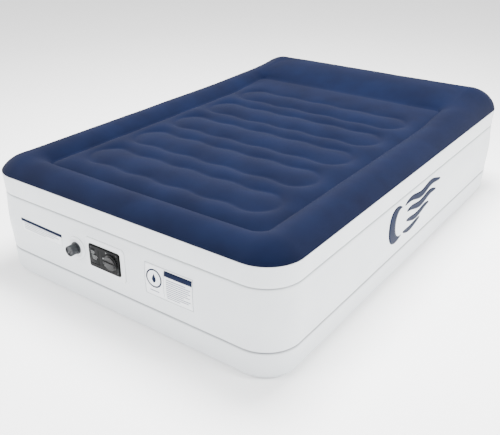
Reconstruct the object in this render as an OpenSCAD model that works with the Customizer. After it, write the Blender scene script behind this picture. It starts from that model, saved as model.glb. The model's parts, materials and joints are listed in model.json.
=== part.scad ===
// Raised air bed with a flocked top, a built-in electric pump and a manual valve.
// Millimetres, +Z up, the foot end with the pump faces -Y, the origin is the middle of the floor face.

/* [Bed] */
// Length of the bed along its widest seam
bed_l = 2030; // [1980:10:2080]
// Width of the bed along its widest seam
bed_w = 1370; // [1340:10:1400]
// Radius of the bed's corners in plan
corner_r = 138; // [130:1:150]
// Thickness of the plastic sheets and webs
sheet_t = 0.6; // [0.4:0.1:1.2]

/* [Heights] */
// Height of the seam between the side wall and the flocked top
top_seam_z = 434; // [420:1:440]
// Height of the upper seam of the side wall
upper_seam_z = 353; // [345:1:360]
// Height of the lower seam of the side wall
lower_seam_z = 114; // [105:1:120]
// Height of the border tube's crest
ridge_z = 480; // [475:1:490]
// Height of the groove inside the border tube
groove_z = 440; // [438:1:446]
// Height of the sleeping field between its pods
field_z = 462; // [458:1:466]
// Height of the raised pillow's crest
pillow_z = 522; // [510:1:530]

/* [Sleeping field] */
// Number of long pods welded into the field
pod_count = 5; // [3:1:5]
// Distance from one pod to the next
pod_pitch = 257; // [240:1:260]
// Half length of a pod
pod_half_l = 447; // [430:1:460]
// Half width of a pod where its waves are level
pod_half_w = 77; // [70:1:85]

/* [Pump] */
// Width of the pump's rim
panel_w = 154; // [150:1:158]
// Height of the pump's rim
panel_h = 92; // [90:1:96]
// Depth of the pump's tub behind the wall
tub_depth = 140; // [138:1:150]
// Radius of the dial
dial_r = 30; // [26:0.5:31]

/* [Manual valve] */
// Radius of the valve's cap
cap_r = 20; // [19:0.5:22]
// Distance that the cap's face stands out from the weld flange
cap_reach = 35; // [33:1:38]

/* [Hidden] */

$fn = 96;
overlap = 1;            // how far a cutting shape runs past what it cuts
gap = 0.3;              // clearance between pieces of different bodies
curve_steps = 12;       // straight steps in a wall's curve

// ---- the bed's plan and its seams, measured out from the axis of each rounded corner
axis_x = bed_w / 2 - corner_r;
axis_y = bed_l / 2 - corner_r;
upper_seam_r = corner_r - 7;
lower_seam_r = corner_r - 9;
upper_bulge = 3;
middle_bulge = 16;
lower_bulge = 4;
foot_round_r = 34;
foot_side_r = corner_r - 6;
wall_proud = middle_bulge - 8;

// ---- the foot wall's face, and the shift that puts the origin in the middle
foot_face = bed_l / 2 + wall_proud;
flange_proud = 2;
bed_shift = (flange_proud + cap_reach) / 2;

// ---- border tube, groove and field of the flocked top
ridge_in = 85;
crown_drop = 12;
groove_in = 168;
groove_w = 8;
field_in = 200;
pillow_start_y = bed_l / 2 - 395;
pillow_end_in = 20;
pillow_side_in = 50;
pillow_shoulder = 150;
pod_rise = 8;
pod_wave = 5.5;
pod_wave_l = 185;
pod_end_l = 75;
pod_points = 96;
first_pod_y = 352 - bed_l / 2;

// ---- inner sheets
air_hole_r = 25;
deck_hole_x = 300;
deck_hole_y = 500;
base_web_pitch = 400;
base_web_half_l = 560;
window_gap = 3;

// ---- pump, in its own frame: x to the right, y up, z out of the bed, from the flange's front
pump_x = -41;
pump_z = 248;
rim_r = 9;
weld_frame_w = 196;
weld_frame_h = 132;
weld_frame_r = 16;
weld_frame_d = 12;
tub_half_w = 73;
tub_half_h = 42;
tub_wall = 2.5;
gasket_t = 1;
rim_t = 2.5;
plate_back = gasket_t + rim_t;
plate_t = 3;
plate_front = plate_back + plate_t;
plate_w = panel_w - 6;
plate_h = panel_h - 6;
screw_x = 64;
screw_y = 35.5;
screw_r = 1.5;
screw_head_r = 3.2;
screw_sink = 1.5;
boss_r = 6;
boss_l = 18;
flange_collar_l = 25;
flange_collar_t = 2.5;
through = 30;           // half length of a cut that goes right through a wall

// ---- cord compartment and its lid
lid_x = -45;
lid_w = 46;
lid_top = 30;
lid_bottom = -27;
lid_t = 1.5;
knuckle_r = 1.5;
pin_r = 0.8;
pin_bore_r = 0.85;
pin_z = plate_front - knuckle_r;
notch_r = 5;
latch_half_w = 4;
latch_drop = 8;
latch_t = 1.5;
pin_end = 3;            // how far the pin runs into the faceplate at each side
box_w = 42;
box_h = 50;
box_d = 56;
box_wall = 1.5;
gland_r = 5;
gland_lip = 2;
gland_at = [10, -12];   // from the lid's middle
cord_hole_r = 3.2;

// ---- dial, diverter and switch
dial_x = 36;
dial_y = 2;
vent_r = 33;
grille_t = 1.5;
shaft_r = 4;
shaft_bore_r = 4.06;
dial_base_z = plate_front + 0.5;
dial_skirt_z = 11;
dial_step_z = 16;
dial_face_z = 20;
dial_step_in = 4;
dial_bar_half_w = 5;
dial_socket_z = 14;
pointer_in = 7;
pointer_l = 7;
pointer_half_w = 0.8;
vane_count = 18;
vane_from = 12;
vane_l = 17;
vane_w = 3;
slot_half_w = 9;
slot_back = -40;
slot_front = -18;
switch_half = 13;
switch_back = -68;
shaft_back = -66;
sleeve_r = 30;
sleeve_wall = 2;
sleeve_end = -52;
drum_r = 27.4;
drum_front = -8;
drum_back = -49;
drum_wall = 2;

// ---- fan and motor
fan_x = -20;
scroll_r = 36;
scroll_front = -72;
scroll_back = -100;
eye_r = 14;
impeller_r = 30;
impeller_front = -75;
impeller_back = -95;
blade_count = 11;
blade_at = 17;
blade_from = -4;
blade_to = 13;
blade_half_t = 0.6;
blade_turn = 35;
backplate_t = 1.5;
hub_r = 5;
hub_in = 6;
casing_wall = 2;
duct_l = 50;
duct_from = 18;
duct_mouth_from = 10;
spindle_r = 2;
spindle_bore_r = 2.05;
motor_r = 21;
motor_back = -136;
can_wall = 1;
bush_r = 4;
bush_l = 4;
motor_screw_x = [-10, 10];
motor_head_r = 2.6;
lead_x = 26;
lead_y = [-3, 3];
lead_hole_r = 1.2;
rotor_r = 14;

// ---- check valve in the tub's rear wall
check_x = 40;
port_r = 16;
check_seat_r = 12;
check_disc_r = 14;
check_stem_r = 2;
check_keeper_r = 4.5;
check_keeper_t = 2;
check_stem_end = 18 - tub_depth;
spider_front = 3.5 - tub_depth;
spider_t = 2;
spider_hub_r = 4;
disc_t = 2;

// ---- manual valve, in its own frame like the pump's
valve_x = -190;
valve_z = 248;
valve_flange_r = 44;
neck_r = 17;
neck_bore_r = 13;
neck_front = 24;
neck_back = -22;
collar_r = 24;
collar_t = 5;
seat_r = 10.5;
spider_z = -7;
stem_r = 2.5;
stem_bore_r = 2.55;
stem_end = 8;
valve_disc_r = 12.6;
neck_holes_at = 8.4;
neck_hole_r = 2.8;
washer_t = 1.6;
cap_wall_inner_r = 17.4;
cap_foot = 8;
cap_bar_half_w = 2.5;
cap_rim = 3;
cap_dish = 4;
grip_count = 24;
grip_r = 1;

// ---- printed labels
print_t = 0.25;
strip_label_x = [-505, -270];
strip_label_z = [225, 275];
care_label_x = [150, 360];
care_label_z = [184, 306];
emblem_y = [-280, 230];
emblem_z = [175, 342];

// ======================================================================== shared shapes

// Moves a shape from the bed's own middle to the part's origin.
module on_bed() {
  translate([0, bed_shift, 0]) children();
}

// Sweeps a profile round the bed: x is the distance out from the corner axis, y is the height.
module around() {
  for (k = [0:3]) {
    across = k % 2 == 0 ? axis_x : axis_y;
    along = k % 2 == 0 ? axis_y : axis_x;
    rotate(90 * k) {
      translate([across, along, 0]) rotate([90, 0, 0]) linear_extrude(2 * along) children();
      translate([across, along, 0]) rotate_extrude(angle = 90) children();
    }
  }
}

// A plate in the bed's plan, whose outline lies r out from the corner axes.
module plan_plate(r, z, t) {
  translate([0, 0, z]) linear_extrude(t) plan_outline(r);
}

module plan_outline(r) {
  square([2 * (axis_x + r), 2 * axis_y], center = true);
  square([2 * axis_x, 2 * (axis_y + r)], center = true);
  for (x = [-axis_x, axis_x], y = [-axis_y, axis_y]) translate([x, y]) circle(r);
}

// Points of a wall that bulges by b between two seams.
function bulge(r0, z0, r1, z1, b) =
  [for (i = [0:curve_steps]) let (s = i / curve_steps)
    [r0 + (r1 - r0) * s + 4 * b * s * (1 - s), z0 + (z1 - z0) * s]];

function reversed(points) = [for (i = [len(points) - 1:-1:0]) points[i]];
function mirrored(points) = [for (p = points) [-p[0], p[1]]];
function moved(points, dx) = [for (p = points) [p[0] + dx, p[1]]];

function middle_points() = bulge(upper_seam_r, upper_seam_z, lower_seam_r, lower_seam_z, middle_bulge);

// A sheet of thickness t, with its outer side along a row of points.
module sheet_profile(points, t) {
  polygon(concat(points, reversed(moved(points, -t))));
}

module rounded_plate(w, h, r, t) {
  linear_extrude(t) rounded_outline(w, h, r);
}

module rounded_outline(w, h, r) {
  square([w - 2 * r, h], center = true);
  square([w, h - 2 * r], center = true);
  for (x = [r - w / 2, w / 2 - r], y = [r - h / 2, h / 2 - r]) translate([x, y]) circle(r, $fn = 48);
}

module tube(r_outer, r_inner, z0, z1) {
  translate([0, 0, z0]) difference() {
    cylinder(r = r_outer, h = z1 - z0);
    translate([0, 0, -overlap]) cylinder(r = r_inner, h = z1 - z0 + 2 * overlap);
  }
}

module rod(r, z0, z1) {
  translate([0, 0, z0]) cylinder(r = r, h = z1 - z0);
}

module box(x0, x1, y0, y1, z0, z1) {
  translate([x0, y0, z0]) cube([x1 - x0, y1 - y0, z1 - z0]);
}

// The frames of the pump and of the valve on the foot wall.
module at_pump() {
  translate([pump_x, bed_shift - foot_face - flange_proud, pump_z]) rotate([90, 0, 0]) children();
}

module at_valve() {
  translate([valve_x, bed_shift - foot_face - flange_proud, valve_z]) rotate([90, 0, 0]) children();
}

// What lies inside the foot wall's outer face, as a block as wide as asked.
module behind_foot_wall(x0, x1) {
  depth = 60;
  on_bed() translate([x1, -axis_y, 0]) rotate([90, 0, -90]) linear_extrude(x1 - x0)
    polygon(concat(middle_points(), [[corner_r - depth, lower_seam_z], [corner_r - depth, upper_seam_z]]));
}

// A coil spring along z, swept as one tube round a helix.
module coil(r, wire_r, z0, z1, turns) {
  sides = 8;
  rings = turns * 16;
  points = [for (i = [0:rings], k = [0:sides - 1])
    let (a = 360 * turns * i / rings, b = 360 * k / sides, rr = r + wire_r * cos(b))
    [rr * cos(a), rr * sin(a), z0 + (z1 - z0) * i / rings + wire_r * sin(b)]];
  skin = [for (i = [0:rings - 1], k = [0:sides - 1]) let (n = (k + 1) % sides)
    [i * sides + k, (i + 1) * sides + k, (i + 1) * sides + n, i * sides + n]];
  start = [for (k = [0:sides - 1]) k];
  end = [for (k = [sides - 1:-1:0]) rings * sides + k];
  polyhedron(points, concat(skin, [start, end]), convexity = 6);
}

// ======================================================================== the inflated bed

// Half width of a pod at x, with gentle waves and rounded ends.
function pod_width(x, g) =
  let (past = abs(x) - (pod_half_l - pod_end_l))
  (pod_half_w - g + pod_wave * cos(360 * x / pod_wave_l)) *
  (past > 0 ? sqrt(max(0, 1 - pow(past / pod_end_l, 2))) : 1);

module pod_outline(g) {
  polygon([for (i = [0:pod_points - 1])
    let (a = 360 * i / pod_points, x = pod_half_l * cos(a))
    [x * (pod_half_l - g) / pod_half_l, sign(sin(a)) * (abs(sin(a)) < 0.01 ? 0 : pod_width(x, g))]]);
}

function pod_y(i) = first_pod_y + pod_pitch * i;

// Profile of the border tube, filled down to the seam and pulled in by g.
module border_profile(g) {
  crest_r = corner_r - ridge_in;
  quarter = [for (a = [0:7.5:90])
    [crest_r + (ridge_in - g) * cos(a), top_seam_z + (ridge_z - top_seam_z - g) * sin(a)]];
  inward = [for (s = [0.25:0.25:1]) [crest_r * (1 - s), ridge_z - g - crown_drop * s * s]];
  polygon(concat([[0, top_seam_z - g]], [[corner_r - g, top_seam_z - g]], quarter, inward));
}

// A block between two rectangles in plan, for the groove's slope and the field's edge.
module sloped_block(in0, z0, in1, z1, end0, end1) {
  hull() {
    inset_plate(in0, z0, end0);
    inset_plate(in1, z1, end1);
  }
}

module inset_plate(in, z, end_y) {
  thin = 0.01;
  translate([in - bed_w / 2, in - bed_l / 2, z]) cube([bed_w - 2 * in, end_y - in + bed_l / 2, thin]);
}

// The smooth bolster across the head end.
module pillow_block(g) {
  base_z = groove_z - g;
  y0 = pillow_start_y + g;
  y1 = bed_l / 2 - pillow_end_in - g;
  x1 = bed_w / 2 - pillow_side_in - g;
  rise = pillow_z - groove_z;
  shoulder = [for (a = [0:15:90]) [x1 - pillow_shoulder * (1 - cos(a)), base_z + rise * sin(a)]];
  intersection() {
    translate([x1, 0, 0]) rotate([90, 0, -90]) linear_extrude(2 * x1)
      polygon(concat([[-y0, base_z]], [for (a = [0:10:180])
        [-(y0 + y1) / 2 + (y1 - y0) / 2 * -cos(a), base_z + rise * sin(a)]]));
    translate([0, y1 + overlap, 0]) rotate([90, 0, 0]) linear_extrude(y1 - y0 + 2 * overlap)
      polygon(concat([[-x1, base_z]], mirrored(shoulder), reversed(shoulder), [[x1, base_z]]));
  }
}

// Everything under the flocked top's surface, pulled in by g.
module top_volume(g) {
  difference() {
    union() {
      around() border_profile(g);
      translate([-axis_x, -axis_y, top_seam_z - g])
        cube([2 * axis_x, 2 * axis_y, ridge_z - crown_drop - top_seam_z]);
    }
    sloped_block(corner_r - g, ridge_z - crown_drop - g, groove_in - g, groove_z - g,
                 pillow_start_y + g, pillow_start_y + g);
  }
  sloped_block(groove_in + groove_w + g, groove_z - g - overlap, field_in + g, field_z - g,
               pillow_start_y + g, pillow_start_y + g);
  for (i = [0:pod_count - 1])
    translate([0, pod_y(i), groove_z]) linear_extrude(field_z - groove_z + pod_rise - g) pod_outline(g);
  pillow_block(g);
}

module top_sheet() {
  color([0.16, 0.22, 0.42]) on_bed() difference() {
    top_volume(0);
    top_volume(sheet_t);
  }
}

module upper_side_wall() {
  color([0.9, 0.92, 0.93]) on_bed() around()
    sheet_profile(bulge(corner_r, top_seam_z, upper_seam_r, upper_seam_z, upper_bulge), sheet_t);
}

// The middle wall has a window for the pump and one for the valve.
module middle_side_wall() {
  color([0.9, 0.92, 0.93]) difference() {
    on_bed() around() sheet_profile(middle_points(), sheet_t);
    at_pump() box(-tub_half_w - window_gap, tub_half_w + window_gap,
                  -tub_half_h - window_gap, tub_half_h + window_gap, -through, through);
    at_valve() rod(neck_r + 2, -through, through);
  }
}

module lower_side_wall() {
  side = bulge(lower_seam_r, lower_seam_z, foot_side_r, foot_round_r, lower_bulge);
  under = function (r) [for (a = [-10:-10:-90])
    [foot_side_r - foot_round_r + r * cos(a), foot_round_r + r * sin(a)]];
  color([0.9, 0.92, 0.93]) on_bed() around()
    polygon(concat(side, under(foot_round_r), reversed(under(foot_round_r - sheet_t)),
                   reversed(moved(side, -sheet_t))));
}

module bottom_sheet() {
  color([0.3, 0.33, 0.38]) on_bed() plan_plate(foot_side_r - foot_round_r, 0, sheet_t);
}

// An inner sheet across the whole bed at a seam, with holes that let the air through.
module deck(r, z) {
  color([0.8, 0.82, 0.84]) on_bed() difference() {
    plan_plate(r - sheet_t, z - sheet_t, sheet_t);
    for (x = [-deck_hole_x, 0, deck_hole_x], y = [-deck_hole_y, 0, deck_hole_y])
      translate([x, y, 0]) rod(air_hole_r, z - through, z + through);
  }
}

module upper_deck_sheet() {
  deck(upper_seam_r, upper_seam_z);
}

module lower_deck_sheet() {
  deck(lower_seam_r, lower_seam_z);
}

// The web that pulls the groove down, round both sides and the foot.
module border_web() {
  color([0.8, 0.82, 0.84]) on_bed() difference() {
    web_ring(groove_in + groove_w / 2);
    web_ring(groove_in + groove_w / 2 + sheet_t);
    translate([0, pillow_start_y, 0]) box(-bed_w, bed_w, 0, bed_l, 0, ridge_z);
  }
}

module web_ring(in) {
  translate([in - bed_w / 2, in - bed_l / 2, upper_seam_z])
    cube([bed_w - 2 * in, bed_l - 2 * in, groove_z - sheet_t - upper_seam_z]);
}

module pillow_web() {
  half = bed_w / 2 - groove_in - groove_w;
  color([0.8, 0.82, 0.84]) on_bed() translate([0, pillow_start_y - groove_w, 0])
    box(-half, half, 0, sheet_t, upper_seam_z, groove_z - sheet_t);
}

// A closed web under a pod's weld, from the upper deck to the field.
module pod_web(i) {
  color([0.8, 0.82, 0.84]) on_bed() translate([0, pod_y(i), upper_seam_z])
    linear_extrude(field_z - sheet_t - upper_seam_z) difference() {
      pod_outline(0);
      pod_outline(sheet_t);
    }
}

module pod_web_1() { pod_web(0); }
module pod_web_2() { pod_web(1); }
module pod_web_3() { pod_web(2); }
module pod_web_4() { pod_web(3); }
module pod_web_5() { pod_web(4); }

// A web across the base chamber, between the two decks.
module base_web(i) {
  color([0.8, 0.82, 0.84]) on_bed() translate([0, base_web_pitch * (i - 1.5), 0]) difference() {
    box(-base_web_half_l, base_web_half_l, 0, sheet_t, lower_seam_z, upper_seam_z - sheet_t);
    for (x = [-375:250:375]) translate([x, 0, (lower_seam_z + upper_seam_z) / 2])
      rotate([90, 0, 0]) rod(air_hole_r, -through, through);
  }
}

module base_web_1() { base_web(0); }
module base_web_2() { base_web(1); }
module base_web_3() { base_web(2); }
module base_web_4() { base_web(3); }

// A film printed on the wall, cut from a skin just outside it.
module film_on_wall() {
  color([0.13, 0.19, 0.42]) intersection() {
    on_bed() around() sheet_profile(moved(middle_points(), print_t), print_t);
    children();
  }
}

module film_on_foot(x, z) {
  film_on_wall() box(x[0], x[1], -foot_face, -axis_y, z[0], z[1]);
}

module strip_label() {
  film_on_foot(strip_label_x, strip_label_z);
}

module care_label() {
  film_on_foot(care_label_x, care_label_z);
}

module side_emblem() {
  film_on_wall() on_bed() box(axis_x, bed_w, emblem_y[0], emblem_y[1], emblem_z[0], emblem_z[1]);
}

// ======================================================================== the pump

// The frame welded into the wall, flat in front and curved to the wall behind.
module pump_weld_flange() {
  color([0.88, 0.9, 0.91]) {
    difference() {
      at_pump() translate([0, 0, -weld_frame_d])
        rounded_plate(weld_frame_w, weld_frame_h, weld_frame_r, weld_frame_d);
      behind_foot_wall(pump_x - weld_frame_w, pump_x + weld_frame_w);
      at_pump() box(-tub_half_w, tub_half_w, -tub_half_h, tub_half_h, -through, overlap);
    }
    at_pump() difference() {
      collar_block(flange_collar_t, -flange_collar_l, -flange_proud);
      collar_block(0, -through, overlap);
    }
  }
}

// A block t larger all round than the tub.
module collar_block(t, z0, z1) {
  box(-tub_half_w - t, tub_half_w + t, -tub_half_h - t, tub_half_h + t, z0, z1);
}

module pump_gasket() {
  color([0.1, 0.1, 0.11]) at_pump() difference() {
    rounded_plate(panel_w - 2, panel_h - 2, rim_r, gasket_t);
    box(-tub_half_w, tub_half_w, -tub_half_h, tub_half_h, -overlap, gasket_t + overlap);
  }
}

module corner_holes(r, z0, z1) {
  for (x = [-screw_x, screw_x], y = [-screw_y, screw_y]) translate([x, y, 0]) rod(r, z0, z1);
}

// The pump's housing: an open tub with a rim, four screw bosses and a port at the back.
module pump_tub() {
  in_w = tub_half_w - tub_wall;
  in_h = tub_half_h - tub_wall;
  fit = 0.1;
  color([0.2, 0.2, 0.21]) at_pump() difference() {
    union() {
      difference() {
        union() {
          translate([0, 0, gasket_t]) rounded_plate(panel_w, panel_h, rim_r, rim_t);
          box(fit - tub_half_w, tub_half_w - fit, fit - tub_half_h, tub_half_h - fit,
              -tub_depth - tub_wall, gasket_t + overlap);
        }
        box(-in_w, in_w, -in_h, in_h, -tub_depth, plate_back + overlap);
      }
      intersection() {
        corner_holes(boss_r, plate_back - boss_l, plate_back);
        box(fit - tub_half_w, tub_half_w - fit, fit - tub_half_h, tub_half_h - fit, -tub_depth, plate_back);
      }
    }
    corner_holes(screw_r, plate_back - boss_l + 3, plate_back + overlap);
    translate([check_x, 0, 0]) rod(port_r, -tub_depth - tub_wall - overlap, -tub_depth + overlap);
  }
}

// The front plate, with windows for the cord lid and the dial.
module faceplate() {
  pocket_end = lid_bottom - knuckle_r - 0.8;
  lid_left = lid_x - lid_w / 2 - gap;
  lid_right = lid_x + lid_w / 2 + gap;
  lid_seat = plate_front - lid_t - gap;
  color([0.24, 0.24, 0.25]) at_pump() difference() {
    translate([0, 0, plate_back]) rounded_plate(plate_w, plate_h, rim_r - 2, plate_t);
    box(lid_x - box_w / 2, lid_x + box_w / 2, -box_h / 2, box_h / 2, 0, through);
    box(lid_left, lid_right, -box_h / 2, lid_top + gap, lid_seat, through);
    box(lid_left, lid_right, pocket_end, -box_h / 2 + 1, 0, through);
    translate([lid_x, lid_top, 0]) rod(notch_r, lid_seat, through);
    lid_pin();
    translate([dial_x, dial_y, 0]) rod(vent_r, 0, through);
    corner_holes(screw_r, 0, through);
    corner_holes(screw_head_r, plate_front - screw_sink, through);
  }
}

// Four pan screws with cross recesses.
module faceplate_screws() {
  color([0.12, 0.12, 0.12]) at_pump() difference() {
    union() {
      corner_holes(screw_r, plate_back - boss_l + 6, plate_front - screw_sink);
      corner_holes(screw_head_r - 0.2, plate_front - screw_sink, plate_front + 0.3);
    }
    for (x = [-screw_x, screw_x], y = [-screw_y, screw_y], turn = [0, 90])
      translate([x, y, plate_front]) rotate(turn) cube([3.6, 0.8, 1.6], center = true);
  }
}

// A slotted disc under the dial, where the air goes in and out.
module vent_grille() {
  color([0.16, 0.16, 0.17]) at_pump() translate([dial_x, dial_y, plate_back]) difference() {
    cylinder(r = vent_r, h = grille_t);
    for (k = [1:vane_count]) rotate(360 * k / vane_count)
      box(vane_from, vane_from + vane_l, -vane_w / 2, vane_w / 2, -overlap, grille_t + overlap);
    rod(shaft_bore_r, -overlap, grille_t + overlap);
  }
}

// A rod along the lid's hinge, which runs past both ends of the lid by a little.
module along_hinge(r, past) {
  half = lid_w / 2 + past;
  translate([lid_x, lid_bottom, pin_z]) rotate([0, 90, 0]) rod(r, -half, half);
}

module lid_pin() {
  along_hinge(pin_r, pin_end);
}

// The lid of the cord compartment, hinged along its lower edge.
module cord_lid() {
  lid_back = plate_front - lid_t;
  latch_y = lid_top - latch_drop;
  color([0.26, 0.26, 0.27]) at_pump() difference() {
    union() {
      box(lid_x - lid_w / 2, lid_x + lid_w / 2, lid_bottom, lid_top, lid_back, plate_front);
      along_hinge(knuckle_r, 0);
      box(lid_x - latch_half_w, lid_x + latch_half_w, latch_y, latch_y + latch_t,
          lid_back - 2.5, lid_back + 0.5);
    }
    translate([lid_x, lid_top, 0]) rod(notch_r, 0, through);
    along_hinge(pin_bore_r, overlap);
  }
}

module lid_hinge_pin() {
  color("silver") at_pump() lid_pin();
}

// The compartment behind the lid, with a hole in its floor for the cord's gland.
module cord_box() {
  half_w = box_w / 2;
  half_h = box_h / 2;
  floor_z = plate_back - box_d;
  color([0.18, 0.18, 0.19]) at_pump() translate([lid_x, 0, 0]) difference() {
    box(-half_w - box_wall, half_w + box_wall, -half_h - box_wall, half_h + box_wall, floor_z, plate_back);
    box(-half_w, half_w, -half_h, half_h, floor_z + box_wall, plate_back + overlap);
    translate(gland_at) rod(gland_r - 1, floor_z - overlap, floor_z + box_wall + overlap);
  }
}

module cord_gland() {
  floor_z = plate_back - box_d;
  color([0.05, 0.05, 0.05]) at_pump() translate([lid_x, 0, 0]) translate(gland_at) {
    tube(gland_r - 1, cord_hole_r, floor_z, floor_z + box_wall);
    tube(gland_r, cord_hole_r, floor_z + box_wall, floor_z + box_wall + gland_lip);
    tube(gland_r, cord_hole_r, floor_z - gland_lip, floor_z);
  }
}

// The stepped dial with a grip bar and a pointer at its left.
module dial_knob() {
  color([0.1, 0.1, 0.11]) at_pump() translate([dial_x, dial_y, 0]) difference() {
    union() {
      rod(dial_r, dial_base_z, dial_skirt_z);
      rod(dial_r - dial_step_in, dial_skirt_z, dial_step_z);
      intersection() {
        rod(dial_r - dial_step_in, dial_step_z, dial_face_z);
        box(-dial_r, dial_r, -dial_bar_half_w, dial_bar_half_w, dial_step_z, dial_face_z);
      }
    }
    box(pointer_in - dial_r, pointer_in + pointer_l - dial_r, -pointer_half_w, pointer_half_w,
        dial_face_z - 1, dial_face_z + overlap);
    rod(shaft_r, 0, dial_socket_z);
  }
}

module dial_shaft() {
  color("silver") at_pump() translate([dial_x, dial_y, 0]) rod(shaft_r, shaft_back, dial_socket_z);
}

// The drum that turns the air path from filling to closed to emptying.
module diverter_drum() {
  color([0.75, 0.76, 0.77]) at_pump() translate([dial_x, dial_y, 0]) difference() {
    rod(drum_r, drum_back, drum_front);
    rod(drum_r - drum_wall, drum_back + drum_wall, drum_front + overlap);
    rod(shaft_r, drum_back - overlap, 0);
    for (turn = [0, 180]) rotate(turn)
      box(0, drum_r + 1, -slot_half_w, slot_half_w, slot_back, slot_front);
  }
}

module diverter_sleeve() {
  color([0.6, 0.61, 0.62]) at_pump() translate([dial_x, dial_y, 0]) difference() {
    rod(sleeve_r, sleeve_end - sleeve_wall, plate_back);
    rod(sleeve_r - sleeve_wall, sleeve_end, plate_back + overlap);
    rod(shaft_bore_r, sleeve_end - 2 * sleeve_wall, 0);
    for (turn = [-90, 90]) rotate(turn)
      box(0, sleeve_r + 1, -slot_half_w, slot_half_w, slot_back, slot_front);
  }
}

// Switches the motor on at both ends of the dial's turn.
module rotary_switch() {
  color([0.85, 0.85, 0.8]) at_pump() translate([dial_x, dial_y, 0]) difference() {
    box(-switch_half, switch_half, -switch_half, switch_half, switch_back, sleeve_end - sleeve_wall);
    rod(shaft_bore_r, shaft_back - 0.5, 0);
  }
}

module fan_cover() {
  color([0.55, 0.56, 0.57]) at_pump() translate([fan_x, 0, 0])
    tube(scroll_r, eye_r, scroll_front, scroll_front + casing_wall);
}

// The fan's casing, on a plate that fills the tub, with an outlet duct.
module fan_scroll() {
  in_w = tub_half_w - tub_wall;
  in_h = tub_half_h - tub_wall;
  color([0.5, 0.51, 0.52]) at_pump() difference() {
    union() {
      translate([fan_x, 0, 0]) rod(scroll_r, scroll_back, scroll_front);
      box(fan_x, fan_x + duct_l, duct_from, scroll_r, scroll_back, scroll_front);
      box(-in_w, in_w, -in_h, in_h, scroll_back, scroll_back + casing_wall);
    }
    translate([fan_x, 0, 0]) rod(scroll_r - casing_wall, scroll_back + casing_wall, scroll_front + overlap);
    box(fan_x + duct_mouth_from, fan_x + duct_l - casing_wall,
        duct_from + casing_wall, scroll_r - casing_wall, scroll_back - overlap, scroll_front - casing_wall);
    translate([fan_x, 0, 0]) rod(spindle_r + 1.5, scroll_back - overlap, 0);
    for (x = motor_screw_x) translate([fan_x + x, 0, 0])
      rod(screw_r, scroll_back - overlap, scroll_back + casing_wall + overlap);
    for (y = lead_y) translate([lead_x, y, 0])
      rod(lead_hole_r, scroll_back - overlap, scroll_back + casing_wall + overlap);
  }
}

module impeller() {
  color([0.9, 0.9, 0.88]) at_pump() translate([fan_x, 0, 0]) difference() {
    union() {
      rod(impeller_r, impeller_back, impeller_back + backplate_t);
      rod(hub_r, impeller_back, impeller_front - hub_in);
      for (k = [1:blade_count]) rotate(360 * k / blade_count) translate([blade_at, 0, 0]) rotate(blade_turn)
        box(blade_from, blade_to, -blade_half_t, blade_half_t, impeller_back + 1, impeller_front);
    }
    rod(spindle_r, impeller_back - overlap, 0);
  }
}

module motor_shaft() {
  color("silver") at_pump() translate([fan_x, 0, 0])
    rod(spindle_r, motor_back - 2, impeller_front - hub_in);
}

module motor_rotor() {
  color([0.6, 0.35, 0.2]) at_pump() translate([fan_x, 0, 0])
    tube(rotor_r, spindle_r, motor_back + 10, scroll_back - 8);
}

module motor_magnets() {
  color([0.3, 0.3, 0.32]) at_pump() translate([fan_x, 0, 0])
    tube(motor_r - can_wall, rotor_r + 1, motor_back + 6, scroll_back - 6);
}

module motor_can() {
  color([0.7, 0.71, 0.72]) at_pump() translate([fan_x, 0, 0]) difference() {
    rod(motor_r, motor_back, scroll_back);
    rod(motor_r - can_wall, motor_back + can_wall, scroll_back - can_wall);
    rod(bush_r, motor_back - overlap, scroll_back + overlap);
    for (x = motor_screw_x) translate([x, 0, 0]) rod(screw_r, scroll_back - 2, scroll_back + overlap);
  }
}

module motor_bushes() {
  color([0.7, 0.5, 0.25]) at_pump() translate([fan_x, 0, 0]) {
    tube(bush_r, spindle_bore_r, motor_back, motor_back + bush_l);
    tube(bush_r, spindle_bore_r, scroll_back - bush_l, scroll_back);
  }
}

module motor_screws() {
  head_z = scroll_back + casing_wall;
  color([0.6, 0.6, 0.6]) at_pump() for (x = motor_screw_x) translate([fan_x + x, 0, 0]) {
    rod(screw_r, scroll_back - 4, head_z);
    rod(motor_head_r, head_z, head_z + 0.8);
  }
}

// Two wires from the switch to the motor's side.
module motor_leads() {
  wire_r = 0.9;
  turn_z = -120;
  color([0.7, 0.1, 0.1]) at_pump() for (y = lead_y) translate([lead_x, y, 0]) {
    rod(wire_r, turn_z, switch_back);
    translate([0, 0, turn_z]) sphere(wire_r);
    translate([0, 0, turn_z]) rotate([0, -90, 0]) rod(wire_r, 0, lead_x - fan_x - motor_r + 0.3);
  }
}

module check_valve_seat() {
  color([0.8, 0.81, 0.82]) at_pump() translate([check_x, 0, 0]) difference() {
    union() {
      tube(port_r, check_seat_r, -tub_depth - tub_wall, spider_front);
      for (turn = [0:60:120]) rotate(turn)
        box(1 - port_r, port_r - 1, -1, 1, spider_front - spider_t, spider_front);
      rod(spider_hub_r, spider_front - spider_t, spider_front);
    }
    rod(check_stem_r + 0.05, -tub_depth - 5, 5 - tub_depth);
  }
}

module check_valve_poppet() {
  disc_front = -tub_depth - tub_wall - gap;
  color([0.15, 0.15, 0.15]) at_pump() translate([check_x, 0, 0]) {
    rod(check_disc_r, disc_front - disc_t, disc_front);
    rod(check_stem_r, disc_front - 1, check_stem_end);
    rod(check_keeper_r, check_stem_end - check_keeper_t, check_stem_end);
  }
}

module check_valve_spring() {
  color("silver") at_pump() translate([check_x, 0, 0])
    coil(3.1, 0.4, spider_front + 0.7, check_stem_end - check_keeper_t - 0.7, 6);
}

// ======================================================================== the manual valve

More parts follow.
